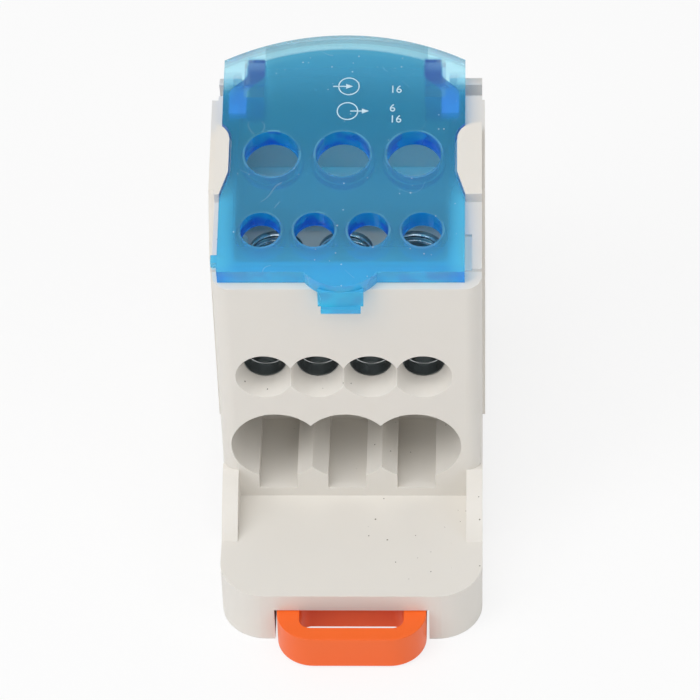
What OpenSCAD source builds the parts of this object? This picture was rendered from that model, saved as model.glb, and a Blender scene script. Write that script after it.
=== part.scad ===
// Rail-mounted power distribution block: one nickelled terminal block with three
// large and four small wire entries on the front, a flip-up access cover, and a
// sliding latch that locks the base on a 35 mm top-hat rail.
// Frame: the origin is the middle of the rail seat, X runs across the block,
// +Y runs to the back and +Z points away from the rail.

/* [Rail] */
// Width of the top-hat rail
rail_w = 35; // [34:0.1:36]
// Thickness of the rail's flange
rail_t = 1; // [0.8:0.1:1.5]
// Play of the rail in its channel, each way
rail_gap = 0.1; // [0.05:0.05:0.3]
// Reach of the fixed hook and of the latch under the flange
hook_reach = 2.1; // [1.5:0.1:2.5]
// Depth of the relief that sets the seat's two ends back
seat_relief = 0.3; // [0.2:0.1:0.6]

/* [Base] */
// Width of the housing
body_w = 28.5; // [28:0.5:34]
// Length of the base
base_len = 62; // [58:1:70]
// Length of the ledge in front of the tower
ledge_len = 15; // [13:0.5:18]
// Height of the ledge's top above the rail seat
ledge_h = 2.25; // [2:0.25:4]
// Depth of the feet below the rail seat
foot_h = 4.6; // [4.6:0.2:6]
// Corner radius of the base in plan
base_r = 5; // [2:0.5:6]

/* [Tower] */
// Distance of the tower's front face from the rail's middle
tower_front = 18; // [17.7:0.1:19]
// Depth of the tower at its middle
tower_depth = 34.5; // [34.2:0.1:37]
// Radius of the tower's bowed back wall
tower_back_r = 37.5; // [30:0.5:60]
// Radius of the tower's front corners
tower_r = 1.8; // [0.5:0.1:2.5]
// Thickness of the tower's front wall
front_wall = 2.5; // [2:0.1:2.6]
// Depth of the shoulder behind the side walls, below the cover's front edge
shoulder_drop = 5.15; // [5:0.05:6]
// Thickness of the guard wall that stands behind the cover
guard_t = 1.5; // [1:0.1:1.5]
// Half width of the guard wall
guard_half_w = 8.9; // [7:0.1:9.5]
// Drop of the guard wall's top below the cover's top
guard_drop = 5.3; // [5:0.1:8]
// Thickness of the side cheeks on the ledges
cheek_t = 1.75; // [1:0.25:2]
// Length of a cheek along the ledge
cheek_len = 7; // [5:0.5:9]
// Height of a cheek at the tower
cheek_h = 4.1; // [3:0.1:6]
// Radius of a cheek's bowed edge
cheek_r = 14; // [10:1:30]
// Height of the interlocking pad on the left side
left_pad = 0.7; // [0.4:0.1:1]
// Height of the pad on the right side
right_pad = 0.3; // [0.1:0.1:0.5]
// Distance of the pads' front edge from the front face
pad_front = 8; // [6:0.5:10]
// Height of the pads' lower edge above the ledge
pad_low = 4.7; // [3:0.1:6]

/* [Terminals] */
// Offset of the terminals and the cover from the middle of the housing
term_x = -0.6; // [-0.6:0.1:0]
// Pitch of the three large terminals
large_pitch = 7.6; // [7.5:0.05:7.7]
// Height of the large wire bores above the ledge
large_z = 7.8; // [7.5:0.1:8.5]
// Radius of the large wire bores
large_bore_r = 3.2; // [2.9:0.05:3.2]
// Radius of the large clamping screws' tapped holes
large_tap_r = 3; // [2.9:0.05:3.1]
// Distance of the large screws from the front face
large_screw_y = 14.9; // [14.5:0.1:15.3]
// Length of the large clamping screws
large_screw_len = 10; // [8:0.5:10]
// Pitch of the four small terminals
small_pitch = 5.7; // [5.5:0.05:5.75]
// Height of the small wire bores above the ledge
small_z = 18.5; // [18.2:0.1:19]
// Radius of the small wire bores
small_bore_r = 2.3; // [2.1:0.05:2.3]
// Radius of the small clamping screws' tapped holes
small_tap_r = 2; // [1.9:0.05:2.1]
// Distance of the small screws from the front face
small_screw_y = 5.4; // [5.2:0.1:5.6]
// Length of the small clamping screws
small_screw_len = 4.75; // [4:0.25:4.75]
// Radial play of a screw in its tapped hole
screw_gap = 0.05; // [0.02:0.01:0.1]
// Depth of the small drills' tips below the wire bores that they cross
drill_past = 0.6; // [0.4:0.1:0.6]
// Radius of the small drills' tips
drill_r = 1.4; // [1:0.1:1.6]
// Height of a resting screw's tip above its wire bore
screw_lift = 0.25; // [0.1:0.05:0.5]

/* [Terminal block] */
// Half width of the block
block_half_w = 11.2; // [11.2:0.05:11.25]
// Distance of the block's nose from the front face
block_front = 2.6; // [2.6:0.1:3]
// Distance of the block's back from the front face
block_back = 19.2; // [18.8:0.1:19.6]
// Distance of the block's lower front face from the tower's front face
block_lower_front = 10.6; // [10.2:0.1:11]
// Length of the raised step over the small screws
step_len = 6.4; // [5.8:0.1:7]
// Height of the block's bottom above the ledge
block_bottom = 3.2; // [3:0.1:3.5]
// Height of the nose's underside above the ledge
nose_bottom = 15.2; // [14.6:0.1:15.6]
// Height of the block's top above the ledge
block_top = 23.3; // [22:0.1:23.6]
// Height of the raised step's top above the ledge
step_top = 26; // [25.6:0.1:26.4]
// Depth of the small wire bores into the nose
small_bore_depth = 6.9; // [6.5:0.1:7.2]
// Play of the block in its well
block_gap = 0.1; // [0.05:0.05:0.2]

/* [Wire entries] */
// Radius of the large entries' round tunnels
tunnel_r = 4.95; // [4.5:0.05:5]
// Width of the channel under each tunnel
channel_w = 4.2; // [3.5:0.1:5]
// Height of the channels' floor above the ledge
channel_floor = 1.3; // [1:0.1:2]
// Radius of a small entry's funnel at the front face
funnel_r = 3.1; // [2.9:0.05:3.3]

/* [Cover] */
// Slope of the cover
slope = 13.67; // [12:0.5:15]
// Height of the cover's front edge above the ledge
cover_front_z = 33.75; // [33.25:0.25:44]
// Setback of the cover's front edge from the front face
cover_setback = 0.3; // [0.1:0.1:0.6]
// Thickness of the cover's plate
cover_t = 1.5; // [1.2:0.1:1.8]
// Length of the cover along its slope
cover_len = 30.6; // [30:0.1:31]
// Half width of the cover
cover_half_w = 13.05; // [12.8:0.05:13.1]
// Radius of the cover's bowed rear edge
cover_back_r = 27.3; // [25:0.1:30]
// Half width of the cover's waist
waist_half_w = 11.95; // [11.8:0.05:12.2]
// Play between the cover's plate and the housing's ears
ear_gap = 0.25; // [0.2:0.05:0.4]
// Play under the cover's plate
seat_gap = 0.05; // [0:0.05:0.1]
// Radius of the access holes over the large screws
large_hole_r = 2.9; // [2.6:0.05:3]
// Radius of the access holes over the small screws
small_hole_r = 2.15; // [2:0.05:2.3]
// Width of the collars round the access holes
collar_w = 0.5; // [0.4:0.05:0.55]
// Depth of the collars below the plate
collar_h = 1; // [0.5:0.1:1.5]
// Depth of the cover's front edge
rim_h = 2.1; // [1.8:0.1:2.4]
// Half width of the finger tab
tab_half_w = 2.4; // [1.8:0.1:3]
// Radius of the rounded brow that carries the finger tab
brow_r = 4.9; // [4.3:0.1:6]
// Reach of the brow in front of the cover's edge
brow_reach = 1.85; // [1.7:0.05:2.2]
// Thickness of the finger tab
tab_t = 1.1; // [0.8:0.1:1.2]
// Length of the finger tab below the cover's front edge
tab_drop = 4.25; // [4:0.25:6]

/* [Hinge] */
// Distance of the hinge axis along the cover's slope
hinge_s = 24.4; // [24:0.1:24.6]
// Depth of the hinge axis below the cover's top
hinge_h = 4.6; // [4.4:0.1:4.8]
// Radius of the hinge pins
pin_r = 0.9; // [0.7:0.05:1]
// Radial play of a hinge pin
pin_gap = 0.05; // [0.02:0.01:0.1]
// Width of the snap slot over each hinge pin
snap_w = 1.5; // [1.2:0.1:1.6]
// Radius of the hinge bosses
boss_r = 2; // [1.6:0.1:2.2]
// Distance of the hinge arms' inner faces from the middle
arm_in = 8.7; // [8.2:0.1:9]
// Distance of the hinge arms' outer faces from the middle
arm_out = 10.9; // [10.2:0.1:11]
// Distance of the hinge bosses' outer faces from the middle
boss_out = 12; // [11.8:0.1:12.2]

/* [Latch] */
// Offset of the latch from the middle of the housing
latch_x = 0.1; // [-0.5:0.1:0.5]
// Half width of the latch
latch_half_w = 8.1; // [7:0.1:8.5]
// Thickness of the latch
latch_t = 4.25; // [4:0.05:4.4]
// Reach of the latch in front of the ledge
latch_out = 4.2; // [3:0.1:6]
// Corner radius of the latch's grip
latch_r = 4; // [2:0.25:5]
// Play of the latch in its way, each side
latch_gap = 0.3; // [0.2:0.05:0.4]
// Play of the latch under the seat
latch_top_gap = 0.1; // [0.05:0.05:0.2]
// Half width of the latch's eye
eye_half_w = 5.65; // [4:0.05:6]
// Length of the latch's eye
eye_len = 3.9; // [3:0.1:8]
// Width of the bar in front of the eye
eye_bar = 1.8; // [1.5:0.1:3]
// Travel of the latch
latch_travel = 3; // [2.5:0.1:3]

/* [Hidden] */
$fn = 64;
far = 80;                                  // past every face of the part
shoulder_h = cover_front_z - shoulder_drop;
tab_low = cover_front_z - tab_drop;

base_front = -tower_front - ledge_len;
base_back = base_front + base_len;
well_half_w = block_half_w + block_gap;
inner_left = -body_w / 2 - term_x;         // the side faces, from the terminals' middle
inner_right = body_w / 2 - term_x;
guard_in_r = tower_back_r - guard_t;
seat_h = cover_t + seat_gap;               // drop of the walls' top below the cover's top
hinge_wall_r = hinge_h - seat_h;           // the walls' top is rounded about the hinge
shelf_h = 24.9;                            // shelf behind the block
cross_wall_y = 26.5;                       // face of the cross wall behind the shelf
waist_front = 9.2;                         // where the cover starts to narrow
waist_start = 12.8;                        // where the waist is narrowest
waist_end = 16.9;                          // where it starts to widen again
waist_r = 2.4;                             // radius of the waist's rear end
large_hole_s = 15;                         // access holes along the cover's slope
small_hole_s = 5.3;
funnel_len = front_wall - 0.1;
hook_top = -rail_t - 0.15;
latch_nose = rail_w / 2 - hook_reach;
rim_len = 1.2;                             // width of the deeper strip along the cover's front edge
lug_s = [1.5, 2.5];                        // the cover's side lug along its slope
lug_h = [0.6, 1.5];                        // and below its top
lug_reach = 0.7;                           // and past the cover's edge
lug_gap = 0.25;
eye_r = 1.2;                               // corners of the latch's eye
nib_y = [11.5, 15.5];                      // snap nibs over the terminal block
nib_len = 2;
spring_slot = [0.8, 8];                    // slots that make the latch's nose springy
spring_inset = 1.6;
latch_rail_len = 8;                        // rails on the latch's sides

function hinge_yz() = [cover_setback + hinge_s * cos(slope) + hinge_h * sin(slope),
                       cover_front_z + hinge_s * sin(slope) - hinge_h * cos(slope)];
function large_xs() = [for (i = [-1 : 1]) i * large_pitch];
function small_xs() = [for (i = [-1.5 : 1.5]) i * small_pitch];

// Terminal frame: the origin is on the front face, level with the ledge's top.
module at_face() {
    translate([term_x, -tower_front, ledge_h]) children();
}

// Cover frame: the origin is on the cover's front edge, Y runs up its slope and
// Z stands on its top.
module at_cover() {
    at_face() translate([0, cover_setback, cover_front_z]) rotate([slope, 0, 0]) children();
}

// Extrudes a profile, drawn in the YZ plane, from x0 to x1.
module across(x0, x1) {
    translate([x0, 0, 0]) rotate([90, 0, 90]) linear_extrude(x1 - x0) children();
}

// A cylinder along +Y from y = 0.
module bore(r, len, r_end = 0) {
    rotate([-90, 0, 0]) cylinder(r1 = r, r2 = r_end > 0 ? r_end : r, h = len);
}

module rounded_rect(x0, x1, y0, y1, r) {
    translate([x0 + r, y0]) square([x1 - x0 - 2 * r, y1 - y0]);
    translate([x0, y0 + r]) square([x1 - x0, y1 - y0 - 2 * r]);
    for (x = [x0 + r, x1 - r], y = [y0 + r, y1 - r])
        translate([x, y]) circle(r);
}

// ---- housing ----

module tower_plan() {
    intersection() {
        rounded_rect(-body_w / 2, body_w / 2, -tower_front, far, tower_r);
        translate([term_x, tower_depth - tower_front - tower_back_r]) circle(tower_back_r, $fn = 180);
    }
}

// Side view of the walls that carry the cover, in the cover's frame. Behind the
// hinge their top is rounded, so that the cover's underside can swing past.
module wall_profile() {
    translate([-5, -far]) square([5 + hinge_s, far - rim_h - seat_gap]);
    translate([rim_len + 0.2, -far]) square([hinge_s - rim_len - 0.2, far - seat_h]);
    translate([hinge_s, -hinge_h]) circle(hinge_wall_r);
}

module walls() {
    intersection() {
        translate([0, 0, ledge_h]) linear_extrude(far) tower_plan();
        at_cover() across(-far, far) wall_profile();
        at_face() translate([-far, -1, shoulder_h - 1])
            cube([2 * far, hinge_yz()[0] + hinge_wall_r + 1, far]);
    }
    at_face() across(inner_left + tower_r, inner_right - tower_r)
        translate([hinge_yz()[0], shoulder_h - 1])
            square([hinge_wall_r, hinge_yz()[1] - shoulder_h + 1]);
}

// The guard wall follows the bowed back of the tower.
module guard() {
    intersection() {
        translate([0, 0, ledge_h + shoulder_h - 1]) linear_extrude(far) difference() {
            tower_plan();
            translate([term_x, tower_depth - tower_front - tower_back_r])
                circle(guard_in_r, $fn = 180);
        }
        at_cover() across(-guard_half_w, guard_half_w)
            translate([0, -far]) square([far, far - guard_drop]);
    }
}

module cheek() {
    mid = [-cheek_len / 2, cheek_h / 2];
    half = norm(mid);
    back = sqrt(pow(cheek_r, 2) - pow(half, 2));
    centre = mid + back * [cheek_h, -cheek_len] / (2 * half);
    intersection() {
        translate([-cheek_len, -1]) square([cheek_len + 1, cheek_h + 1]);
        translate(centre) circle(cheek_r, $fn = 120);
    }
}

module cheeks() {
    for (x = [-body_w / 2, body_w / 2 - cheek_t]) {
        translate([0, -tower_front, ledge_h]) across(x, x + cheek_t) cheek();
        translate([0, tower_depth - tower_front - 3, ledge_h])
            across(x, x + cheek_t) mirror([1, 0]) cheek();
    }
}

// Outline of the cover's waist on the +X side, opened by g on every side.
module waist(g) {
    lean = (cover_half_w - waist_half_w) / (waist_start - waist_front);
    front = waist_front + 2.5 * g;
    polygon([[far, front],
             [cover_half_w + g - lean * (front - waist_front), front],
             [waist_half_w + g, waist_start], [waist_half_w + g, waist_end], [far, waist_end]]);
    translate([waist_half_w + waist_r, waist_end]) circle(waist_r - g);
    translate([waist_half_w + waist_r, waist_end - 1]) square([far, waist_r - g + 1]);
}

module ears() {
    intersection() {
        at_cover() translate([0, 0, -seat_h - 1]) linear_extrude(seat_h + 1) {
            waist(ear_gap);
            mirror([1, 0]) waist(ear_gap);
        }
        linear_extrude(far) tower_plan();
    }
}

module pad_profile(front, low) {
    back = hinge_yz()[0] - 2;
    top = cover_front_z - seat_h / cos(slope) - cover_setback * tan(slope);
    polygon([[front, low], [back, low], [back, top + back * tan(slope)],
             [front + 3.8, top + (front + 3.8) * tan(slope)], [front, shoulder_h]]);
}

module pads() {
    at_face() {
        across(inner_left - left_pad, inner_left + 1) pad_profile(pad_front, pad_low);
        across(inner_right - 1, inner_right + right_pad) pad_profile(pad_front, pad_low);
    }
}

// Rail channel with the fixed hook at the back, drawn in the YZ plane.
module rail_profile() {
    edge = rail_w / 2 + rail_gap;
    inner = rail_w / 2 - hook_reach - 0.2;
    difference() {
        translate([-edge, -foot_h - 1]) square([2 * edge, foot_h + 1 + seat_relief]);
        translate([-inner, 0]) square([2 * inner, 1]);
        polygon([[edge, hook_top], [edge - hook_reach, hook_top],
                 [edge - hook_reach, hook_top - 0.6], [edge - 0.6, -foot_h - 1], [edge, -foot_h - 1]]);
    }
}

// Way of the latch, with a groove in each side that holds its rails.
module latch_way() {
    half = latch_half_w + latch_gap;
    back = -rail_w / 2 - rail_gap + 1;         // it opens into the rail channel
    groove_front = base_front + groove_wall();
    translate([latch_x - half, base_front - 1, -foot_h - 1])
        cube([2 * half, back - base_front + 1, foot_h + 1]);
    translate([latch_x - half - rail_out(), groove_front, groove_z()[0]])
        cube([2 * (half + rail_out()), back - groove_front, groove_z()[1] - groove_z()[0]]);
}

function groove_wall() = 1.5;
function rail_out() = 0.7;
function groove_z() = [-latch_top_gap - latch_t + 1.2, -latch_top_gap - 1.3];

module large_entries() {
    len = block_lower_front;
    for (x = large_xs()) {
        translate([x, -1, large_z]) bore(tunnel_r, len + 1);
        translate([x - channel_w / 2, -1, channel_floor]) cube([channel_w, len + 1, large_z - channel_floor]);
    }
}

module small_entries() {
    flare = (funnel_r - small_bore_r) / funnel_len;
    for (x = small_xs()) translate([x, 0, small_z]) {
        translate([0, -1, 0]) bore(funnel_r + flare, funnel_len + 1, small_bore_r);
        bore(small_bore_r, block_front);
    }
}

// The well is open at the top: the block drops in and rests on its floor.
module well() {
    w = well_half_w;
    back = block_back + block_gap;
    translate([-w, front_wall, nose_bottom - block_gap]) cube([2 * w, back - front_wall, far]);
    translate([-w, block_lower_front - block_gap, block_bottom])
        cube([2 * w, back - block_lower_front + block_gap, far]);
    translate([-w, back - 1, shelf_h]) cube([2 * w, cross_wall_y - back + 1, far]);
    translate([-w, cross_wall_y - 1, shoulder_h]) cube([2 * w, hinge_yz()[0], far]);
}

// Snap nibs on the well's side walls keep the block down.
module nibs() {
    for (y = nib_y, m = [0, 1]) mirror([m, 0, 0])
        translate([well_half_w, y, block_top + block_gap]) rotate([90, 0, 0])
            linear_extrude(nib_len, center = true) polygon([[0.5, 0], [-0.5, 0], [-0.5, 0.3], [0.5, 1.6]]);
}

// Each hinge pin snaps down its slot into a round seat in the side wall.
module hinge_seats() {
    drop = hinge_h;
    boss = boss_r + 0.15;
    across(-boss_out - 0.15, boss_out + 0.15) translate([hinge_s, -drop]) {
        circle(boss);
        translate([-boss, 0]) square([2 * boss, far]);
    }
    across(-far, far) translate([hinge_s, -drop]) {
        circle(pin_r + pin_gap);
        translate([-snap_w / 2, 0]) square([snap_w, far]);
    }
}

// Pocket in the left wall's top for the cover's side lug, and a shallow notch in
// the right wall's.
module lug_pockets() {
    s = lug_s[0] - lug_gap;
    translate([inner_left - 1, s, -lug_h[1] - lug_gap])
        cube([2.2 - inner_left - cover_half_w, lug_s[1] + lug_gap - s, far]);
    translate([cover_half_w - 0.5, 1.4, -seat_h - 0.4]) cube([1.25, 4.3, far]);
}

module housing() {
    color("gainsboro") {
        difference() {
            union() {
                translate([0, 0, -foot_h]) linear_extrude(foot_h + ledge_h)
                    rounded_rect(-body_w / 2, body_w / 2, base_front, base_back, base_r);
                linear_extrude(ledge_h + shoulder_h) tower_plan();
                walls();
                pads();
                cheeks();
            }
            across(-far, far) rail_profile();
            latch_way();
            at_face() {
                large_entries();
                small_entries();
                well();
            }
            at_cover() {
                hinge_seats();
                lug_pockets();
            }
        }
        ears();
        guard();
        at_face() nibs();
    }
}

// ---- cover ----

module cover_outline() {
    difference() {
        intersection() {
            translate([-cover_half_w, 0]) square([2 * cover_half_w, cover_len]);
            translate([0, cover_len - cover_back_r]) circle(cover_back_r, $fn = 180);
        }
        waist(0);
        mirror([1, 0]) waist(0);
    }
    intersection() {
        translate([0, brow_r - brow_reach]) circle(brow_r);
        translate([-brow_r, -brow_r]) square([2 * brow_r, brow_r + 1]);
    }
}

module access_holes(extra) {
    for (x = large_xs()) translate([x, large_hole_s]) circle(large_hole_r + extra);
    for (x = small_xs()) translate([x, small_hole_s]) circle(small_hole_r + extra);
}

module hinge_arm() {
    root = [hinge_s + 0.2, hinge_s + 3.6];
    across(arm_in, arm_out) polygon([[root[0] - 1.4, -cover_t / 2], [root[1], -cover_t / 2],
        [root[1], -cover_t - 0.9], [hinge_s + 1.4, -hinge_h - 1.4], [hinge_s - boss_r, -hinge_h]]);
    across(arm_in, boss_out) translate([hinge_s, -hinge_h]) circle(boss_r);
    across(boss_out - 1, cover_half_w) translate([hinge_s, -hinge_h]) circle(pin_r);
}

module cover() {
    color("deepskyblue", 0.6) {
        at_cover() {
            translate([0, 0, -cover_t]) linear_extrude(cover_t) difference() {
                cover_outline();
                access_holes(0);
            }
            translate([0, 0, -rim_h]) linear_extrude(rim_h) intersection() {
                cover_outline();
                translate([-cover_half_w, rim_len - far]) square([2 * cover_half_w, far]);
            }
            translate([0, 0, -cover_t - collar_h]) linear_extrude(collar_h) difference() {
                access_holes(collar_w);
                access_holes(0);
            }
            hinge_arm();
            mirror([1, 0, 0]) hinge_arm();
            translate([-cover_half_w - lug_reach, lug_s[0], -lug_h[1]])
                cube([lug_reach + 0.5, lug_s[1] - lug_s[0], lug_h[1] - lug_h[0]]);
        }
        at_face() finger_tab();
    }
}

// The tab hangs from the brow, just clear of the front face, with a lip for a
// finger nail at its lower end.
module finger_tab() {
    gap = 0.15;
    top = cover_front_z - cover_t;
    across(-tab_half_w, tab_half_w)
        translate([-gap - tab_t, tab_low + 0.7]) square([tab_t, top - tab_low - 0.7]);
    across(0.3 - tab_half_w, tab_half_w - 0.3) {
        translate([-gap - tab_t, tab_low]) square([tab_t, 1]);
        translate([-gap - tab_t - 0.4, tab_low]) square([0.5, 0.6]);
    }
}

// ---- rail latch ----

module latch_outline() {
    front = base_front - latch_out;
    nose = -latch_nose;
    difference() {
        union() {
            rounded_rect(-latch_half_w, latch_half_w, front, front + 4 * latch_r, latch_r);
            translate([-latch_half_w, front + 2 * latch_r])
                square([2 * latch_half_w, nose - front - 2 * latch_r]);
        }
        rounded_rect(-eye_half_w, eye_half_w, front + eye_bar, front + eye_bar + eye_len, eye_r);
        for (m = [0, 1]) mirror([m, 0])
            translate([latch_half_w - spring_inset - spring_slot[0], nose - 2 - spring_slot[1]])
                square(spring_slot);
    }
}

module rail_latch() {
    nose = -latch_nose;
    low = -latch_top_gap - latch_t;
    rail_edge = -rail_w / 2 - rail_gap;
    color("darkorange") translate([latch_x, 0, 0]) {
        difference() {
            translate([0, 0, low]) linear_extrude(latch_t) latch_outline();
            across(-far, far) {
                translate([rail_edge, hook_top]) square([far, far]);
                polygon([[nose - 2, low - 0.1], [nose + 1, low - 0.1], [nose + 1, hook_top - 0.6],
                         [nose, hook_top - 0.6]]);
            }
        }
        for (m = [0, 1]) mirror([m, 0, 0])
            translate([latch_half_w - 0.5, base_front + groove_wall() + latch_travel + 0.1, groove_z()[0] + 0.1])
                cube([0.5 + rail_out(), latch_rail_len, groove_z()[1] - groove_z()[0] - 0.2]);
    }
}

// ---- terminal block and its screws ----

module block_profile() {
    polygon([[block_front, nose_bottom], [block_lower_front, nose_bottom],
             [block_lower_front, block_bottom], [block_back, block_bottom], [block_back, block_top],
             [block_front + step_len, block_top], [block_front + step_len, step_top],
             [block_front, step_top]]);
}

// A tapped hole ends in the wire bore that it crosses. The small drills' tips go
// on into the bore's floor.
module tapped(tap_r, tip) {
    cylinder(r = tap_r, h = far);
    if (tip > 0) translate([0, 0, -tip]) cylinder(r = drill_r, h = far);
}

module terminal_block() {
    color("silver") at_face() difference() {
        across(-block_half_w, block_half_w) block_profile();
        for (x = large_xs()) {
            translate([x, 0, large_z]) bore(large_bore_r, far);
            translate([x, large_screw_y, large_z]) tapped(large_tap_r, 0);
        }
        for (x = small_xs()) {
            translate([x, 0, small_z]) bore(small_bore_r, block_front + small_bore_depth);
            translate([x, small_screw_y, small_z]) tapped(small_tap_r, small_bore_r + drill_past);
        }
    }
}

// A set screw that stands on its tip at z = 0. Its child is cut out of its top.
module set_screw(r, len) {
    edge = r * 0.2;
    color("lightsteelblue") difference() {
        rotate_extrude() polygon([[0, 0], [r - edge, 0], [r, edge], [r, len - edge],
                                  [r - edge, len], [0, len]]);
        children();
    }
}

module large_screw(i) {
    r = large_tap_r - screw_gap;
    at_face() translate([large_xs()[i], large_screw_y, large_z + large_bore_r + screw_lift])
        set_screw(r, large_screw_len)
            translate([0, 0, large_screw_len * 0.6]) cylinder(r = r * 0.55, h = far, $fn = 6);
}

module small_screw(i) {
    r = small_tap_r - screw_gap;
    at_face() translate([small_xs()[i], small_screw_y, small_z + small_bore_r + screw_lift])
        set_screw(r, small_screw_len)
            translate([-r - 1, -0.35, small_screw_len - 1.2]) cube([2 * r + 2, 0.7, 2]);
}

housing();
cover();
rail_latch();
terminal_block();
large_screw(0);  // large_screw_1
large_screw(1);  // large_screw_2
large_screw(2);  // large_screw_3
small_screw(0);  // small_screw_1
small_screw(1);  // small_screw_2
small_screw(2);  // small_screw_3
small_screw(3);  // small_screw_4
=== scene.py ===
# Power distribution block for a 35 mm rail: looks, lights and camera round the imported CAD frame.
# Sizes in the dictionaries are in millimetres and degrees, unless a note says otherwise.
import math

import bmesh
import bpy
from mathutils import Matrix, Vector


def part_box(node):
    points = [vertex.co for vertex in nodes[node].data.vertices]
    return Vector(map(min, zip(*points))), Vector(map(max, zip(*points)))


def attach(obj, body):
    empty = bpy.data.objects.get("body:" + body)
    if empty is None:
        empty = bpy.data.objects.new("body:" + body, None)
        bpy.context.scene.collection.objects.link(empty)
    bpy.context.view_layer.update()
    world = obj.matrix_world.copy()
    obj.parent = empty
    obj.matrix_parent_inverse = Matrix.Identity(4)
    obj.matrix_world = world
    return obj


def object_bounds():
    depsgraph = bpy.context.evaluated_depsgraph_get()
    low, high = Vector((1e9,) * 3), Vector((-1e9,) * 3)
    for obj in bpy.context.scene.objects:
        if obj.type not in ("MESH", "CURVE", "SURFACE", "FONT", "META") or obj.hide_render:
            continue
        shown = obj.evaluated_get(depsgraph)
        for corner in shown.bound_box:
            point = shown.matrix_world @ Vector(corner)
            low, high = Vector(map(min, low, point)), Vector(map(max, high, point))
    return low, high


mm = 0.001


def asList(corners):
    return [[round(v, 6) for v in corner] for corner in corners]


def linear(red, green, blue):
    # a screen colour, 0 to 255 each, as the linear colour that Blender works in
    return tuple(((v / 255 + 0.055) / 1.055) ** 2.4 if v > 10 else v / 255 / 12.92
                 for v in (red, green, blue)) + (1.0,)


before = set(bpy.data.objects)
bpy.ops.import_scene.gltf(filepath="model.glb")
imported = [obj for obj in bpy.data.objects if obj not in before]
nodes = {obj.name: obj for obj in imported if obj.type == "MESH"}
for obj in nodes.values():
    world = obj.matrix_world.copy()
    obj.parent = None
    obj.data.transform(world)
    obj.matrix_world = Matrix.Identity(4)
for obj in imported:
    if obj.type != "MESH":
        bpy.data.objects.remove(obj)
cadBox = asList(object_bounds())
print("frame loaded:", len(nodes), "CAD nodes")

tower = {"face": -18, "ledgeTop": 2.25}             # its front face, and the top of the ledge below
faceY, ledgeZ = tower["face"] * mm, tower["ledgeTop"] * mm
blockLow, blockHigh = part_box("terminal_block")
middleX = (blockLow.x + blockHigh.x) / 2            # middle line of the terminals and the cover


def link(tree, source, target):
    tree.links.new(source, target)


def addNode(tree, kind, **settings):
    node = tree.nodes.new(kind)
    for name, value in settings.items():
        setattr(node, name, value)
    return node


def feed(tree, socket, value):
    # a plain value is set on the socket, the output of a node is linked to it
    if isinstance(value, (int, float, tuple)):
        socket.default_value = value
    else:
        link(tree, value, socket)


def mathNode(tree, operation, *values):
    node = addNode(tree, "ShaderNodeMath", operation=operation)
    for socket, value in zip(node.inputs, values):
        feed(tree, socket, value)
    return node.outputs[0]


def both(tree, first, second):
    return mathNode(tree, "MULTIPLY", first, second)


def either(tree, first, second):
    return mathNode(tree, "MAXIMUM", first, second)


def less(tree, first, second):
    return mathNode(tree, "SUBTRACT", first, second)


def distance(tree, first, second):
    # the length of two steps at right angles
    squares = mathNode(tree, "ADD", both(tree, first, first), both(tree, second, second))
    return mathNode(tree, "SQRT", squares)


def ramp(tree, value, low, high, first=0.0, last=1.0):
    # goes smoothly from first to last while the value goes from low to high
    node = addNode(tree, "ShaderNodeMapRange", interpolation_type="SMOOTHSTEP")
    link(tree, value, node.inputs["Value"])
    for name, number in (("From Min", low), ("From Max", high), ("To Min", first), ("To Max", last)):
        node.inputs[name].default_value = number
    return node.outputs["Result"]


def between(tree, value, low, high, soft):
    # 1 from low to high, with soft ends
    return both(tree, ramp(tree, value, low - soft, low + soft),
                ramp(tree, value, high - soft, high + soft, 1.0, 0.0))


def noise(tree, scale, detail):
    node = addNode(tree, "ShaderNodeTexNoise")
    feed(tree, node.inputs["Scale"], scale)
    node.inputs["Detail"].default_value = detail
    link(tree, addNode(tree, "ShaderNodeTexCoord").outputs["Object"], node.inputs["Vector"])
    return node.outputs["Fac"]


def mixColour(tree, factor, first, second):
    node = addNode(tree, "ShaderNodeMix", data_type="RGBA")
    for name, value in (("Factor_Float", factor), ("A_Color", first), ("B_Color", second)):
        feed(tree, next(s for s in node.inputs if s.identifier == name), value)
    return next(s for s in node.outputs if s.identifier == "Result_Color")


def layers(tree, colour, *coats):
    # each coat is a mask and the colour that it puts over the ones before
    for mask, tint in coats:
        colour = mixColour(tree, mask, colour, tint)
    return colour


def mixShaders(tree, factor, first, second):
    mix = addNode(tree, "ShaderNodeMixShader")
    for socket, value in zip(mix.inputs, (factor, first, second)):
        link(tree, value, socket)
    return mix.outputs[0]


def dotProduct(tree, vector, direction):
    node = addNode(tree, "ShaderNodeVectorMath", operation="DOT_PRODUCT")
    link(tree, vector, node.inputs[0])
    node.inputs[1].default_value = direction
    return node.outputs["Value"]


def newGroup(name, inputs, outputs):
    # a tuple stands for a colour, a plain number for a value
    group = bpy.data.node_groups.new(name, "ShaderNodeTree")
    for label, value in inputs.items():
        kind = "NodeSocketColor" if isinstance(value, tuple) else "NodeSocketFloat"
        socket = group.interface.new_socket(name=label, in_out="INPUT", socket_type=kind)
        socket.default_value = value
    for label in outputs:
        kind = "NodeSocketColor" if label == "Colour" else "NodeSocketFloat"
        group.interface.new_socket(name=label, in_out="OUTPUT", socket_type=kind)
    return group, addNode(group, "NodeGroupInput").outputs, addNode(group, "NodeGroupOutput").inputs


def useGroup(tree, group, values):
    node = addNode(tree, "ShaderNodeGroup")
    node.node_tree = group
    for name, value in values.items():
        feed(tree, node.inputs[name], value)
    return node


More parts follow.
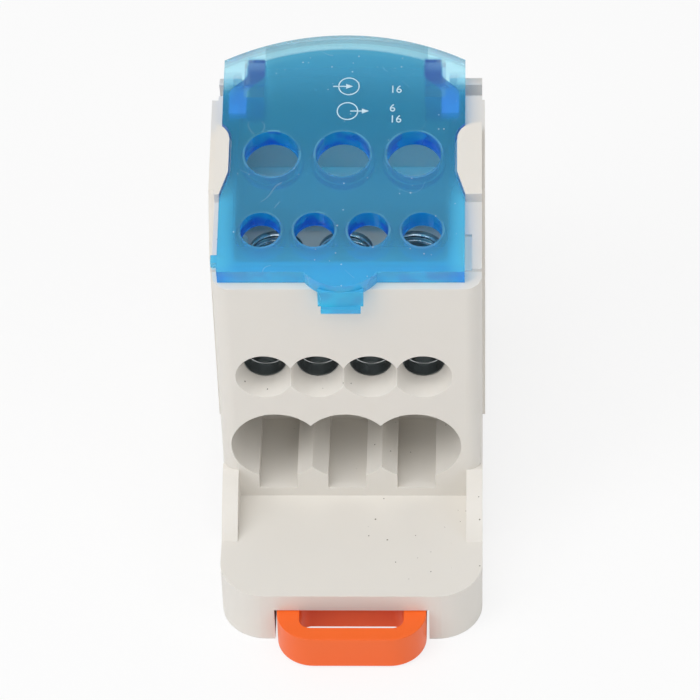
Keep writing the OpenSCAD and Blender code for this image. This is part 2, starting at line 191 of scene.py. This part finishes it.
def makeGrain():
    # fine moulded grain with a slow drift of tone
    group, values, out = newGroup(
        "mouldGrain",
        {"Colour": (0.8, 0.8, 0.8, 1), "Drift": 0.04, "Fine Scale": 9000.0, "Slow Scale": 90.0,
         "Roughness": 0.5, "Roughness Drift": 0.08},
        ("Colour", "Roughness", "Height"))
    swing = less(group, noise(group, values["Slow Scale"], detail=4.0), 0.5)
    tone = addNode(group, "ShaderNodeHueSaturation")
    link(group, values["Colour"], tone.inputs["Color"])
    link(group, mathNode(group, "ADD", both(group, swing, values["Drift"]), 1.0), tone.inputs["Value"])
    link(group, tone.outputs["Color"], out["Colour"])
    spread = both(group, swing, values["Roughness Drift"])
    link(group, mathNode(group, "ADD", spread, values["Roughness"]), out["Roughness"])
    link(group, noise(group, values["Fine Scale"], detail=2.0), out["Height"])
    return group


def makeGrit():
    # sparse specks in loose heaps, on surfaces that face up
    group, values, out = newGroup(
        "grit",
        {"Scale": 500.0, "Amount": 0.1, "Size": 0.1, "Gather": 0.0, "Heap Scale": 95.0, "Facing Up": 0.3},
        ("Mask",))
    cells = addNode(group, "ShaderNodeTexVoronoi")
    link(group, addNode(group, "ShaderNodeTexCoord").outputs["Object"], cells.inputs["Vector"])
    link(group, values["Scale"], cells.inputs["Scale"])
    pick = addNode(group, "ShaderNodeSeparateColor")
    link(group, cells.outputs["Color"], pick.inputs["Color"])
    chosen = mathNode(group, "LESS_THAN", pick.outputs["Red"], values["Amount"])
    reach = both(group, pick.outputs["Green"], values["Size"])
    dot = mathNode(group, "LESS_THAN", cells.outputs["Distance"], reach)
    facing = addNode(group, "ShaderNodeSeparateXYZ")
    link(group, addNode(group, "ShaderNodeNewGeometry").outputs["Normal"], facing.inputs["Vector"])
    up = mathNode(group, "GREATER_THAN", facing.outputs["Z"], values["Facing Up"])
    heaps = noise(group, values["Heap Scale"], detail=1.0)
    heap = mathNode(group, "GREATER_THAN", heaps, values["Gather"])
    link(group, both(group, both(group, chosen, dot), both(group, up, heap)), out["Mask"])
    return group


grain = makeGrain()
grit = makeGrit()


def newMaterial(name):
    material = bpy.data.materials.new(name)
    material.use_nodes = True
    material.node_tree.nodes.clear()
    return material, material.node_tree


def grained(name, look):
    # a material whose colour, roughness and fine bump come from the grain
    material, tree = newMaterial(name)
    shader = addNode(tree, "ShaderNodeBsdfPrincipled")
    link(tree, shader.outputs["BSDF"], addNode(tree, "ShaderNodeOutputMaterial").inputs["Surface"])
    body = useGroup(tree, grain, look["grain"])
    link(tree, body.outputs["Colour"], shader.inputs["Base Color"])
    link(tree, body.outputs["Roughness"], shader.inputs["Roughness"])
    if "bump" in look:
        node = addNode(tree, "ShaderNodeBump")
        node.inputs["Strength"].default_value = look["bump"]
        node.inputs["Distance"].default_value = look["bumpDepth"] * mm
        link(tree, body.outputs["Height"], node.inputs["Height"])
        link(tree, node.outputs["Normal"], shader.inputs["Normal"])
    return material, tree, shader, body


housingLook = {"grain": {"Colour": linear(231, 227, 220), "Drift": 0.03, "Fine Scale": 7000.0,
                         "Roughness": 0.47},
               "grit": {"Scale": 1300.0, "Amount": 0.42, "Size": 0.13, "Gather": 0.52},
               "gritColour": linear(112, 104, 92), "bump": 0.25, "bumpDepth": 0.006, "ior": 1.46,
               "softness": 0.12, "softColours": (1.0, 0.9, 0.8), "softDepth": 0.6}


def housingPlastic():
    material, tree, shader, body = grained("greyHousingPlastic", housingLook)
    dust = useGroup(tree, grit, housingLook["grit"])
    colour = mixColour(tree, dust.outputs["Mask"], body.outputs["Colour"], housingLook["gritColour"])
    link(tree, colour, shader.inputs["Base Color"])
    shader.inputs["IOR"].default_value = housingLook["ior"]
    shader.inputs["Subsurface Weight"].default_value = housingLook["softness"]
    shader.inputs["Subsurface Radius"].default_value = housingLook["softColours"]
    shader.inputs["Subsurface Scale"].default_value = housingLook["softDepth"] * mm
    return material


latchLook = {"grain": {"Colour": linear(250, 104, 26), "Drift": 0.05, "Fine Scale": 6000.0,
                       "Roughness": 0.42},
             "bump": 0.2, "bumpDepth": 0.006}
metalLook = {"grain": {"Drift": 0.2, "Fine Scale": 2600.0, "Slow Scale": 240.0, "Roughness Drift": 0.25},
             "bump": 0.35, "bumpDepth": 0.01}
metalFinishes = {"nickelPlating": {"Colour": linear(198, 203, 204), "Roughness": 0.34},
                 "screwSteel": {"Colour": linear(206, 208, 208), "Roughness": 0.22},
                 "cutThread": {"Colour": linear(232, 234, 234), "Roughness": 0.12}}


def metal(name):
    look = dict(metalLook, grain={**metalLook["grain"], **metalFinishes[name]})
    material, _, shader, _ = grained(name, look)
    shader.inputs["Metallic"].default_value = 1.0
    return material


# the cover's top starts at its front rim and rises along its slope; its rear edge is an arc
coverPlace = {"setback": 0.3, "front": 33.75, "slope": 13.67, "arcMiddle": 3.3}
coverStart = (middleX, faceY + coverPlace["setback"] * mm, ledgeZ + coverPlace["front"] * mm)
run = math.cos(math.radians(coverPlace["slope"]))
rise = math.sin(math.radians(coverPlace["slope"]))

coverLook = {"grain": {"Drift": 0.05, "Fine Scale": 5000.0, "Slow Scale": 60.0, "Roughness": 0.26,
                       "Roughness Drift": 0.08},
             "bump": 0.1, "bumpDepth": 0.006, "ior": 1.45, "transmission": 0.66,
             "clearness": 0.45, "polish": 0.65,     # of the margin that stands past the housing
             "shade": linear(80, 198, 232),         # the light that its shadow lets through
             "dust": {"Scale": 1500.0, "Amount": 0.5, "Size": 0.16, "Gather": 0.47},
             "hairs": {"Scale": 170.0, "Width": 0.0022, "Share": 0.63, "Patch Scale": 430.0},
             "hairStrength": 0.24, "hairFade": 0.1, "patchScale": 420.0, "stripStrength": 0.85,
             "wallFacing": (0.35, 0.65)}            # below the first a wall, above the second a flat
# the front, lower, middle, upper, strip and margin tints are painted light and shade from what lies under
# the plate, and the ring tint is a painted highlight
coverTints = {"front": linear(98, 204, 240), "lower": linear(82, 171, 203), "middle": linear(62, 160, 191),
              "upper": linear(98, 194, 224), "strip": linear(124, 224, 246), "neck": linear(92, 138, 196),
              "boss": linear(90, 182, 246), "margin": linear(152, 236, 255), "edge": linear(104, 196, 212),
              "rim": linear(92, 226, 255), "rimDeep": linear(58, 176, 255), "side": linear(128, 176, 246),
              "holeWall": linear(26, 186, 255), "holeWallDeep": linear(30, 136, 255),
              "highlightRing": linear(150, 225, 250), "dust": linear(235, 245, 250)}

# where one tone of the cover turns into the next: across from its middle line, along its slope from
# the front rim, or as a reach from the middle of the rear arc
coverZones = {"toLower": (0.5, 5.5), "toMiddle": (10.0, 19.0), "toUpper": (20.0, 28.0),
              "stripAcross": (10.6, 12.7), "stripAlong": (8.5, 13.5),
              "legAcross": (8.6, 10.5, 0.2), "legAlong": (20.2, 27.5, 0.35),      # from, to, softness
              "legStep": (22.9, 25.4), "legShift": 1.9, "toNeck": (23.0, 24.8),
              "cornerAcross": (10.4, 10.7), "cornerAlong": (23.0, 24.4),
              "marginReach": (25.3, 25.6), "marginAlong": (12.0, 14.0),
              "edgeReach": (26.9, 27.05), "edgeAlong": (20.0, 21.0), "backWall": (26.5, 26.8),
              "sideAcross": (11.3, 11.6), "sideAlong": (5.0, 7.0), "rimAlong": (0.4, 0.8),
              "rimDeepAcross": (10.5, 13.0), "lugAcross": (13.05, 13.15)}

# how the patches of a slow noise break up the hole walls, the rim and the painted highlight rings
coverPatches = {"holeWall": (0.44, 0.56), "rim": (0.4, 0.65), "highlightRing": (0.35, 0.65, 0.15, 0.6)}
holeRows = ({"Pitch": 7.6, "Shift": 0.5, "Middle": 15.0, "Radius": 2.96, "Last": 11.2},
            {"Pitch": 5.7, "Shift": 0.0, "Middle": 5.3, "Radius": 2.21, "Last": 11.2})
highlightRingLine = (0.1, 0.26)                              # from its middle: where a painted highlight ring fades and ends


def makeCoverPlan():
    # where a point lies on the cover: across, along its slope, its reach, and on a wall or a flat
    group, _, out = newGroup("coverPlan", {}, ("Across", "Along", "Reach", "Wall"))
    coords = addNode(group, "ShaderNodeTexCoord").outputs
    offset = addNode(group, "ShaderNodeVectorMath", operation="SUBTRACT")
    link(group, coords["Object"], offset.inputs[0])
    offset.inputs[1].default_value = coverStart
    across = mathNode(group, "ABSOLUTE", dotProduct(group, offset.outputs["Vector"], (1 / mm, 0, 0)))
    along = dotProduct(group, offset.outputs["Vector"], (0, run / mm, rise / mm))
    link(group, across, out["Across"])
    link(group, along, out["Along"])
    link(group, distance(group, across, less(group, along, coverPlace["arcMiddle"])), out["Reach"])
    facing = mathNode(group, "ABSOLUTE", dotProduct(group, coords["Normal"], (0, -rise, run)))
    link(group, ramp(group, facing, *coverLook["wallFacing"], 1.0, 0.0), out["Wall"])
    return group


def makeHoleHighlights():
    # a painted highlight: a thin bright ring round each access hole of one row
    group, values, out = newGroup(
        "holeHighlights",
        {"Across": 0.0, "Along": 0.0, "Pitch": 5.0, "Shift": 0.0, "Middle": 5.0, "Radius": 2.0,
         "Last": 11.0},
        ("Mask",))
    cell = mathNode(group, "DIVIDE", values["Across"], values["Pitch"])
    cell = mathNode(group, "FRACT", mathNode(group, "ADD", cell, values["Shift"]))
    local = both(group, less(group, cell, 0.5), values["Pitch"])
    reach = distance(group, local, less(group, values["Along"], values["Middle"]))
    gap = mathNode(group, "ABSOLUTE", less(group, reach, values["Radius"]))
    inRow = mathNode(group, "LESS_THAN", values["Across"], values["Last"])
    link(group, both(group, ramp(group, gap, *highlightRingLine, 1.0, 0.0), inRow), out["Mask"])
    return group


def makeHairs():
    # short curved hair scratches
    group, values, out = newGroup(
        "hairScratches", {"Scale": 120.0, "Width": 0.003, "Share": 0.6, "Patch Scale": 430.0}, ("Mask",))
    curve = less(group, noise(group, values["Scale"], detail=0.0), 0.5)
    line = mathNode(group, "LESS_THAN", mathNode(group, "ABSOLUTE", curve), values["Width"])
    patches = noise(group, values["Patch Scale"], detail=0.0)
    where = mathNode(group, "GREATER_THAN", patches, values["Share"])
    link(group, both(group, line, where), out["Mask"])
    return group


coverPlan = makeCoverPlan()
holeHighlights = makeHoleHighlights()
hairs = makeHairs()


def coverMasks(tree, across, along, reach):
    # a hinge arm under the plate is a leg that steps outwards; past it the margin lets light through
    zones = coverZones
    step = ramp(tree, along, *zones["legStep"], zones["legShift"], 0.0)
    local = less(tree, across, step)
    leg = both(tree, between(tree, local, *zones["legAcross"]), between(tree, along, *zones["legAlong"]))
    corner = both(tree, ramp(tree, local, *zones["cornerAcross"]), ramp(tree, along, *zones["cornerAlong"]))
    margin = either(tree, ramp(tree, reach, *zones["marginReach"]), corner)
    margin = both(tree, margin, ramp(tree, along, *zones["marginAlong"]))
    margin = both(tree, margin, less(tree, 1.0, leg))
    return leg, margin


def coverTop(tree, across, along, reach, leg, margin, patch):
    # painted light and shade: the plate's tone changes with what lies close under it, darker in the middle
    # over the housing's shade, lighter towards the front and rear, over the side walls' tops and where the
    # margin shows the floor, with a painted highlight ring round each hole
    zones, tints = coverZones, coverTints
    strip = both(tree, ramp(tree, across, *zones["stripAcross"]),
                 ramp(tree, along, *zones["stripAlong"], 1.0, 0.0))
    edge = both(tree, ramp(tree, reach, *zones["edgeReach"]), ramp(tree, along, *zones["edgeAlong"]))
    highlightRows = [useGroup(tree, holeHighlights, {**row, "Across": across, "Along": along}) for row in holeRows]
    highlightMask = both(tree, either(tree, *(row.outputs["Mask"] for row in highlightRows)),
                    ramp(tree, patch, *coverPatches["highlightRing"]))
    return layers(tree, tints["front"],
                  (ramp(tree, along, *zones["toLower"]), tints["lower"]),
                  (ramp(tree, along, *zones["toMiddle"]), tints["middle"]),
                  (ramp(tree, along, *zones["toUpper"]), tints["upper"]),
                  (both(tree, strip, coverLook["stripStrength"]), tints["strip"]),
                  (leg, mixColour(tree, ramp(tree, along, *zones["toNeck"]), tints["boss"], tints["neck"])),
                  (margin, tints["margin"]),
                  (edge, tints["edge"]),
                  (highlightMask, tints["highlightRing"]))


def coverWalls(tree, across, along, backWall, patch):
    # the hole walls, the plate's sides, and its front rim
    zones, tints = coverZones, coverTints
    rim = layers(tree, tints["rim"],
                 (ramp(tree, patch, *coverPatches["rim"]), tints["front"]),
                 (ramp(tree, across, *zones["rimDeepAcross"]), tints["rimDeep"]))
    side = both(tree, ramp(tree, across, *zones["sideAcross"]), ramp(tree, along, *zones["sideAlong"]))
    walls = layers(tree, tints["holeWall"],
                   (ramp(tree, patch, *coverPatches["holeWall"]), tints["holeWallDeep"]),
                   (side, tints["side"]))
    return layers(tree, rim,
                  (ramp(tree, along, *zones["rimAlong"]), walls),
                  (ramp(tree, across, *zones["lugAcross"]), tints["strip"]),
                  (backWall, tints["edge"]))


def coverMarks(tree, wall):
    # dust on what faces up, and hair scratches on the flats
    dust = useGroup(tree, grit, coverLook["dust"]).outputs["Mask"]
    scratch = useGroup(tree, hairs, coverLook["hairs"]).outputs["Mask"]
    onFlats = ramp(tree, wall, 0.0, coverLook["hairFade"], coverLook["hairStrength"], 0.0)
    return either(tree, dust, both(tree, scratch, onFlats))


def coverPlastic():
    material, tree, shader, body = grained("blueCoverPlastic", coverLook)
    plan = useGroup(tree, coverPlan, {}).outputs
    across, along, reach, wall = (plan[name] for name in ("Across", "Along", "Reach", "Wall"))
    patch = noise(tree, coverLook["patchScale"], detail=1.0)
    backWall = ramp(tree, reach, *coverZones["backWall"])
    leg, margin = coverMasks(tree, across, along, reach)
    top = coverTop(tree, across, along, reach, leg, margin, patch)
    walls = coverWalls(tree, across, along, backWall, patch)
    colour = layers(tree, top, (wall, walls), (coverMarks(tree, wall), coverTints["dust"]))
    link(tree, colour, body.inputs["Colour"])
    polish = less(tree, 1.0, both(tree, margin, coverLook["polish"]))
    link(tree, both(tree, body.outputs["Roughness"], polish), shader.inputs["Roughness"])
    clear = either(tree, both(tree, margin, less(tree, 1.0, wall)), both(tree, wall, backWall))
    link(tree, less(tree, 1.0, both(tree, clear, coverLook["clearness"])), shader.inputs["Alpha"])
    shader.inputs["Transmission Weight"].default_value = coverLook["transmission"]
    shader.inputs["IOR"].default_value = coverLook["ior"]
    # its shadow lets blue light through
    tinted = addNode(tree, "ShaderNodeBsdfTransparent")
    tinted.inputs["Color"].default_value = coverLook["shade"]
    inShadow = addNode(tree, "ShaderNodeLightPath").outputs["Is Shadow Ray"]
    link(tree, mixShaders(tree, inShadow, shader.outputs[0], tinted.outputs[0]),
         tree.nodes["Material Output"].inputs["Surface"])
    return material


# by CAD node; the screws have their own
materials = {"housing": housingPlastic(), "cover": coverPlastic(),
             "rail_latch": grained("orangeLatchPlastic", latchLook)[0],
             "terminal_block": metal("nickelPlating")}
screwMetal = metal("screwSteel")
cutMetal = metal("cutThread")
print("finishes made")

edgeLook = {"widths": {"housing": 0.1, "cover": 0.1, "rail_latch": 0.25, "terminal_block": 0.15},
            "screwWidth": 0.08, "segments": 2, "weld": 0.002,
            "curved": 0.3, "sharp": 32,             # bends between these belong to a rounded surface
            "roundedShare": 0.7}                    # share of such bends in a rounded surface's border


def splitFlats(mesh):
    # a flat face meets a rounded one without sharing its shading; tells them apart by their borders
    curved, sharp = edgeLook["curved"], edgeLook["sharp"]
    bm = bmesh.new()
    bm.from_mesh(mesh)
    bends = {e.index: math.degrees(e.calc_face_angle(math.pi)) for e in bm.edges}
    cluster, borders = {}, []
    for face in bm.faces:
        if face.index in cluster:
            continue
        cluster[face.index] = len(borders)
        whole, soft, queue = 0.0, 0.0, [face]
        while queue:
            for edge in queue.pop().edges:
                bend = bends[edge.index]
                if bend > curved:
                    whole += edge.calc_length()
                    soft += edge.calc_length() if bend < sharp else 0.0
                    continue
                for other in edge.link_faces:
                    if other.index not in cluster:
                        cluster[other.index] = len(borders)
                        queue.append(other)
        borders.append((whole, soft))
    flat = [soft < edgeLook["roundedShare"] * whole for whole, soft in borders]
    for face in bm.faces:
        mesh.polygons[face.index].use_smooth = not flat[cluster[face.index]]
    for edge in bm.edges:
        bend = bends[edge.index]
        if bend > sharp or bend > curved and any(flat[cluster[f.index]] for f in edge.link_faces):
            mesh.edges[edge.index].use_edge_sharp = True
    bm.free()


for name, piece in nodes.items():
    piece.data.materials.clear()
    piece.data.materials.append(materials.get(name, screwMetal))
    splitFlats(piece.data)
    weld = piece.modifiers.new("weld", "WELD")
    weld.merge_threshold = edgeLook["weld"] * mm
    edge = piece.modifiers.new("softEdges", "BEVEL")
    edge.width = edgeLook["widths"].get(name, edgeLook["screwWidth"]) * mm
    edge.segments = edgeLook["segments"]
    edge.limit_method = "ANGLE"
    edge.angle_limit = math.radians(edgeLook["sharp"])
    edge.miter_outer = "MITER_ARC"
print("CAD nodes dressed")


def addPiece(name, mesh, material, body):
    mesh.materials.append(material)
    piece = bpy.data.objects.new(name, mesh)
    bpy.context.scene.collection.objects.link(piece)
    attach(piece, body)
    return piece


def meshFrom(name, verts, faces):
    mesh = bpy.data.meshes.new(name)
    mesh.from_pydata(verts, [], faces)
    return mesh


threadLook = {"radius": 3.0, "pitch": 0.8, "depth": 0.3, "overlap": 0.02, "aboveScrew": 0.35,
              "top": 22.95,                         # over the ledge's top
              "halfWidth": 0.42,                    # of the ridge, as a share of the pitch
              "steps": 40, "fadeSteps": 8}          # a turn's steps, and those in which an end rises


def helix(centre, low, high):
    # an inner thread: a ridge with a V profile that winds from low to high
    radius, pitch, depth = (threadLook[name] * mm for name in ("radius", "pitch", "depth"))
    root, half = radius + threadLook["overlap"] * mm, threadLook["halfWidth"]
    steps, fadeSteps = threadLook["steps"], threadLook["fadeSteps"]
    count = int((high - low) / pitch * steps)
    verts, faces = [], []
    for i in range(count + 1):
        turn = 2 * math.pi * i / steps
        z = low + pitch * i / steps
        fade = min(1, i / fadeSteps, (count - i) / fadeSteps)
        for reach, up in ((root, -half), (radius - depth * fade, 0.0), (root, half)):
            verts.append((centre.x + reach * math.cos(turn), centre.y + reach * math.sin(turn),
                          z + up * pitch))
        if i:
            a, b = 3 * (i - 1), 3 * i
            faces += [(a, b, b + 1, a + 1), (a + 1, b + 1, b + 2, a + 2), (a + 2, b + 2, b, a)]
    faces += [(0, 1, 2), (3 * count + 2, 3 * count + 1, 3 * count)]
    return verts, faces


for number in (1, 2, 3):
    low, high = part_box("large_screw_%d" % number)
    verts, faces = helix((low + high) / 2, high.z + threadLook["aboveScrew"] * mm,
                         ledgeZ + threadLook["top"] * mm)
    name = "large_thread_%d" % number
    thread = addPiece(name, meshFrom(name, verts, faces), cutMetal, "housing")
    for face in thread.data.polygons:
        face.use_smooth = True

# a thin polished tube stands in for the highlight on the lower edge inside each small wire entry: across
# from the middle line, over the ledge's top and behind the tower's face
boreHighlight = {"across": (-8.55, -2.85, 2.85, 8.55), "height": 18.5, "depth": 4.4, "radius": 2.28,
            "tube": 0.05, "spread": 52, "steps": 28, "sides": 8,
            "endStart": 0.4, "endSlope": 3}         # how the tube thins out at its ends


def arcPiece(name, centre):
    # the lower part of a ring round the Y axis, closed at its ends
    radius, tube, spread = boreHighlight["radius"] * mm, boreHighlight["tube"] * mm, boreHighlight["spread"]
    steps, sides, endStart = boreHighlight["steps"], boreHighlight["sides"], boreHighlight["endStart"]
    verts = []
    for i in range(steps + 1):
        turn = math.radians(-90 - spread + 2 * spread * i / steps)
        taper = math.sin(math.pi * (i + endStart) / (steps + 2 * endStart)) * boreHighlight["endSlope"]
        thick = tube * min(1, taper)
        for k in range(sides):
            side = 2 * math.pi * k / sides
            reach = radius + thick * math.cos(side)
            verts.append((centre[0] + reach * math.cos(turn), centre[1] + thick * math.sin(side),
                          centre[2] + reach * math.sin(turn)))
    faces = [(i * sides + k, i * sides + (k + 1) % sides, (i + 1) * sides + (k + 1) % sides,
              (i + 1) * sides + k) for i in range(steps) for k in range(sides)]
    faces += [tuple(range(sides))[::-1], tuple(steps * sides + k for k in range(sides))]
    addPiece(name, meshFrom(name, verts, faces), cutMetal, "housing")


for number, across in enumerate(boreHighlight["across"], 1):
    arcPiece("bore_highlight_%d" % number, (middleX + across * mm, faceY + boreHighlight["depth"] * mm,
                                       ledgeZ + boreHighlight["height"] * mm))
print("threads cut")

# generic marks: a wire into and out of a terminal, and plain numbers
markLook = {"grain": {"Colour": linear(204, 228, 240), "Drift": 0.3, "Fine Scale": 9000.0,
                      "Slow Scale": 1500.0, "Roughness": 0.5},
            "thick": 0.02, "line": 0.12, "circle": 1.1, "circleSteps": 40, "head": 0.75, "headHalf": 0.32,
            # across and along of a circle's middle, and where its arrow starts and ends from there
            "wires": ((0.5, 23.8, -1.7, 0.45), (0.4, 20.55, 0.3, 2.3)),
            "digit": 1.35, "numbers": (("16", 4.9, 22.95), ("6", 4.9, 20.5), ("16", 4.9, 19.05))}


def onCover(across, along, lift=0.0):
    place = Vector((across, along * run - lift * rise, along * rise + lift * run))
    return Vector(coverStart) + place * mm


def slab(bm, outline):
    # a thin raised plate with this outline on the cover's top
    low = [bm.verts.new(onCover(a, b)) for a, b in outline]
    high = [bm.verts.new(onCover(a, b, markLook["thick"])) for a, b in outline]
    bm.faces.new(high)
    bm.faces.new(low[::-1])
    for i in range(len(low)):
        k = (i + 1) % len(low)
        bm.faces.new((low[i], low[k], high[k], high[i]))


def circleMark(bm, across, along):
    inner, outer = markLook["circle"] - markLook["line"] / 2, markLook["circle"] + markLook["line"] / 2
    top, steps = markLook["thick"], markLook["circleSteps"]
    rows = []
    for i in range(steps):
        turn = 2 * math.pi * i / steps
        points = [onCover(across + reach * math.cos(turn), along + reach * math.sin(turn), lift)
                  for reach, lift in ((inner, 0), (outer, 0), (outer, top), (inner, top))]
        rows.append([bm.verts.new(point) for point in points])
    for i, row in enumerate(rows):
        after = rows[(i + 1) % steps]
        for k in range(4):
            m = (k + 1) % 4
            bm.faces.new((row[k], row[m], after[m], after[k]))


def arrowMark(bm, start, tip, along):
    half, neck, headHalf = markLook["line"] / 2, tip - markLook["head"], markLook["headHalf"]
    slab(bm, [(start, along - half), (neck, along - half), (neck, along - headHalf), (tip, along),
              (neck, along + headHalf), (neck, along + half), (start, along + half)])


def numberMark(bm, text, across, along):
    font = bpy.data.curves.new("digits", "FONT")
    font.body = text
    font.size = markLook["digit"]
    font.extrude = markLook["thick"] / 2
    holder = bpy.data.objects.new("digits", font)
    bpy.context.scene.collection.objects.link(holder)
    bpy.context.view_layer.update()
    mesh = bpy.data.meshes.new_from_object(holder.evaluated_get(bpy.context.evaluated_depsgraph_get()))
    for vert in mesh.vertices:
        vert.co = onCover(across + vert.co.x, along + vert.co.y, vert.co.z + markLook["thick"] / 2)
    bm.from_mesh(mesh)
    bpy.data.objects.remove(holder)
    bpy.data.meshes.remove(mesh)


def makeMarks():
    bm = bmesh.new()
    for across, along, start, tip in markLook["wires"]:
        circleMark(bm, across, along)
        arrowMark(bm, across + start, across + tip, along)
    for text, across, along in markLook["numbers"]:
        numberMark(bm, text, across, along)
    bmesh.ops.recalc_face_normals(bm, faces=bm.faces)
    mesh = bpy.data.meshes.new("wire_marks")
    bm.to_mesh(mesh)
    bm.free()
    addPiece("wire_marks", mesh, grained("markPrint", markLook)[0], "cover")


makeMarks()
print("cover marked")

stageLook = {"floor": (0.93, 0.93, 0.93, 1), "floorGlow": 0.8, "floorGap": 0.02, "world": 0.5,
             "floorHalf": 1.6, "lampsAim": (0, 0, 0.02)}       # these two in metres
# place and size in metres, power in watts
lamps = {"keyLight": {"place": (-0.16, -0.26, 0.78), "size": (0.6, 0.5), "power": 2.6},
         "leftLight": {"place": (-0.55, -0.34, 0.46), "size": (0.4, 0.4), "power": 1.5},
         "rightLight": {"place": (0.55, -0.34, 0.46), "size": (0.4, 0.4), "power": 0.85}}


def whiteFloor():
    material, tree = newMaterial("whiteFloor")
    diffuse = addNode(tree, "ShaderNodeBsdfDiffuse")
    diffuse.inputs["Color"].default_value = stageLook["floor"]
    glow = addNode(tree, "ShaderNodeEmission")
    rays = addNode(tree, "ShaderNodeLightPath").outputs
    seen = either(tree, rays["Is Camera Ray"],
                  either(tree, rays["Is Glossy Ray"], rays["Is Transmission Ray"]))
    surface = mixShaders(tree, both(tree, seen, stageLook["floorGlow"]), diffuse.outputs[0], glow.outputs[0])
    # clear from below
    below = addNode(tree, "ShaderNodeNewGeometry").outputs["Backfacing"]
    surface = mixShaders(tree, below, surface, addNode(tree, "ShaderNodeBsdfTransparent").outputs[0])
    link(tree, surface, addNode(tree, "ShaderNodeOutputMaterial").inputs["Surface"])
    return material


def makeFloor():
    half, z = stageLook["floorHalf"], cadBox[0][2] - stageLook["floorGap"] * mm
    corners = [(-half, -half, z), (half, -half, z), (half, half, z), (-half, half, z)]
    floor = bpy.data.objects.new("floor", meshFrom("floor", corners, [(0, 1, 2, 3)]))
    floor.data.materials.append(whiteFloor())
    bpy.context.scene.collection.objects.link(floor)


def makeWorld():
    world = bpy.data.worlds.new("studio")
    bpy.context.scene.world = world
    world.use_nodes = True
    tree = world.node_tree
    tree.nodes.clear()
    sky = addNode(tree, "ShaderNodeBackground")
    sky.inputs["Strength"].default_value = stageLook["world"]
    backdrop = addNode(tree, "ShaderNodeBackground")
    rays = addNode(tree, "ShaderNodeLightPath").outputs
    seen = either(tree, rays["Is Camera Ray"], rays["Is Transmission Ray"])
    link(tree, mixShaders(tree, seen, sky.outputs[0], backdrop.outputs[0]),
         addNode(tree, "ShaderNodeOutputWorld").inputs["Surface"])


def areaLight(name, lamp):
    data = bpy.data.lights.new(name, "AREA")
    data.shape = "RECTANGLE"
    data.size, data.size_y = lamp["size"]
    data.energy = lamp["power"]
    light = bpy.data.objects.new(name, data)
    light.location = lamp["place"]
    aim = Vector(stageLook["lampsAim"]) - Vector(lamp["place"])
    light.rotation_euler = aim.to_track_quat("-Z", "Y").to_euler()
    bpy.context.scene.collection.objects.link(light)


cameraSet = {"aim": (-0.58, -18.0, 16.24), "elevation": 44.492, "azimuth": 2.754, "roll": 1.949,
             "distance": 452.319, "side": 0.752, "lift": 6.076, "lens": 215.17, "sensor": 36,
             "clip": (0.01, 10)}                    # nearest and furthest, in metres


def makeCamera():
    elevation, azimuth, roll = (math.radians(cameraSet[name]) for name in ("elevation", "azimuth", "roll"))
    back = Vector((math.sin(azimuth) * math.cos(elevation), -math.cos(azimuth) * math.cos(elevation),
                   math.sin(elevation)))
    right = Vector((math.cos(azimuth), math.sin(azimuth), 0))
    up = back.cross(right)
    across = math.cos(roll) * right - math.sin(roll) * up
    above = math.sin(roll) * right + math.cos(roll) * up
    place = (Vector(cameraSet["aim"]) + cameraSet["side"] * right + cameraSet["lift"] * up
             + cameraSet["distance"] * back) * mm
    data = bpy.data.cameras.new("camera")
    data.lens = cameraSet["lens"]
    data.sensor_width = cameraSet["sensor"]
    data.clip_start, data.clip_end = cameraSet["clip"]
    camera = bpy.data.objects.new("camera", data)
    camera.matrix_world = Matrix.Translation(place) @ Matrix((across, above, back)).transposed().to_4x4()
    bpy.context.scene.collection.objects.link(camera)
    bpy.context.scene.camera = camera


makeFloor()
makeWorld()
for name, lamp in lamps.items():
    areaLight(name, lamp)
makeCamera()
bpy.context.scene.view_settings.view_transform = "Standard"
print("stage, lights and camera set")
